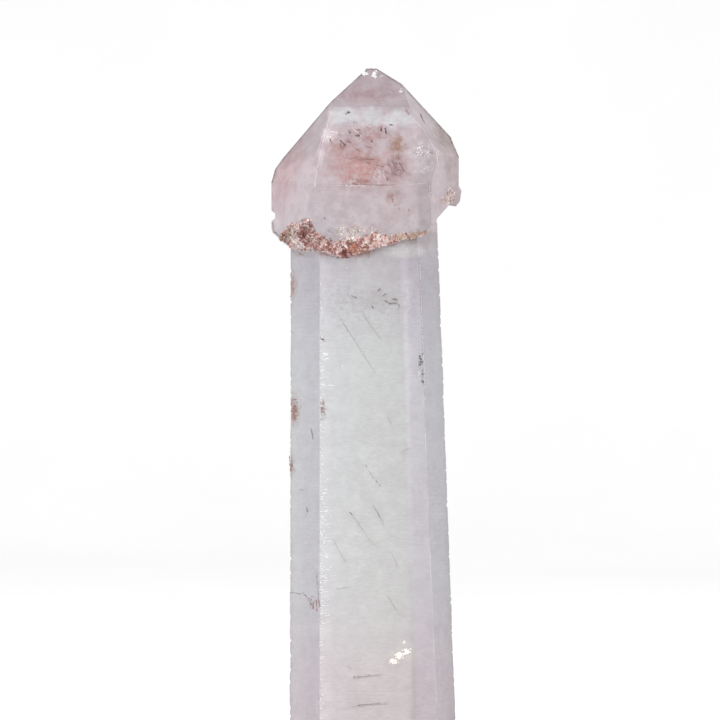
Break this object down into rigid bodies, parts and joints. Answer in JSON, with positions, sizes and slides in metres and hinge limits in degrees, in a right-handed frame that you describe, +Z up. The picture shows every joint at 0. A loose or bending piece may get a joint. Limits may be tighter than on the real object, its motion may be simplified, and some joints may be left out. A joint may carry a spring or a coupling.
{
  "type": "quartz sceptre crystal",
  "caption": "Clear to milky quartz sceptre: a flattened six-sided stem with a wider pink-tinted pointed head over a rust-brown crust.",
  "frame": {"origin": "middle of the crystal's width and depth, on the flat cut foot that it stands on", "axes": "+Z up along the crystal, from foot to tip; -Y is the broad front face; +X is the right hand side seen from the front"},
  "size_m": [0.0248, 0.0178, 0.1002],
  "materials": {
    "quartz": "polished"
  },
  "bodies": {
    "root": {"quartz_sceptre": "quartz"}
  },
  "joints": []
}
